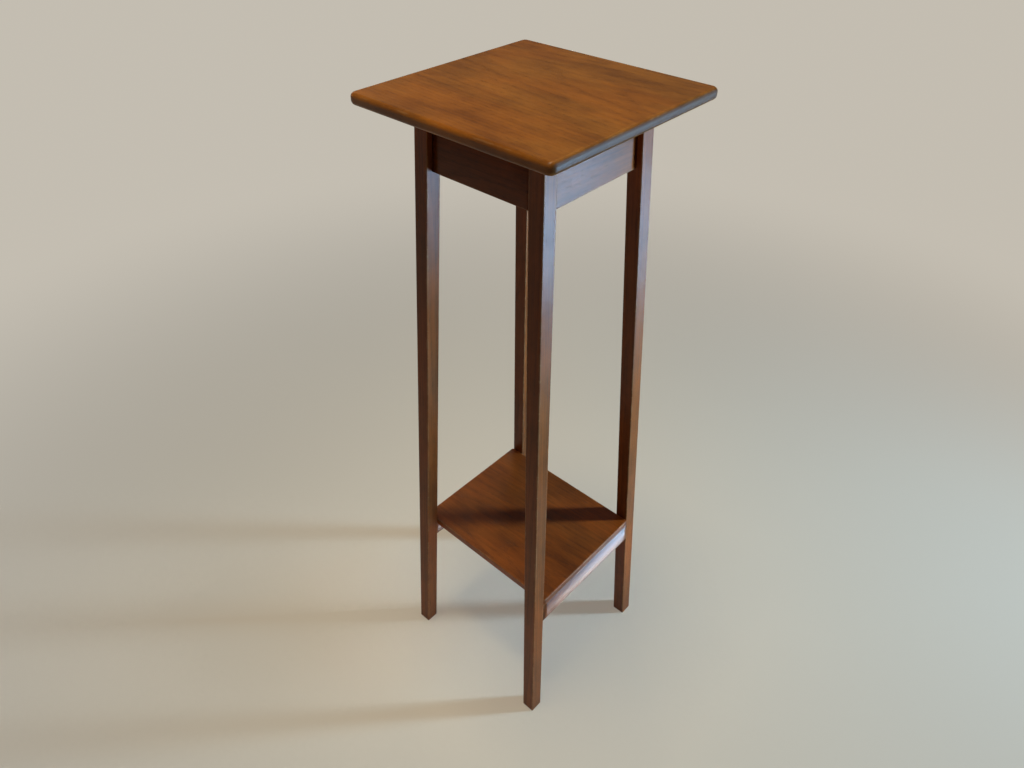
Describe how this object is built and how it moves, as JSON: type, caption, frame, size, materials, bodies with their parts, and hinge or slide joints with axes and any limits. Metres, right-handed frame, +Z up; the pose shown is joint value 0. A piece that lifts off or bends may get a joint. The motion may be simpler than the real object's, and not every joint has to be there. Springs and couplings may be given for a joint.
{
  "type": "plant stand",
  "caption": "Tall square plant stand of dark stained wood, with splayed legs, an apron frame under a nosed top, and a low shelf on two rails.",
  "frame": {"origin": "on the floor plane, at the centre of the four feet, under the centre of the top", "axes": "+Z up; -Y is the front and +X the right-hand side; the two shelf rails are on the +X and -X sides"},
  "size_m": [0.272, 0.272, 0.915],
  "materials": {
    "top_wood": "satin varnish over warm brown stain",
    "frame_wood": "satin varnish over dark brown stain",
    "shelf_wood": "satin varnish over dark brown stain",
    "block_wood": "unfinished, sawn",
    "screw_steel": "dull, aged"
  },
  "bodies": {
    "root": {"top_board": "top_wood", "leg_front_left": "frame_wood", "leg_front_right": "frame_wood", "leg_back_left": "frame_wood", "leg_back_right": "frame_wood", "apron_front": "frame_wood", "apron_back": "frame_wood", "apron_left": "frame_wood", "apron_right": "frame_wood", "shelf_rail_left": "frame_wood", "shelf_rail_right": "frame_wood", "shelf_board": "shelf_wood", "corner_block_front_left": "block_wood", "corner_block_front_right": "block_wood", "corner_block_back_left": "block_wood", "corner_block_back_right": "block_wood", "top_screws": "screw_steel", "shelf_screws": "screw_steel"}
  },
  "joints": []
}
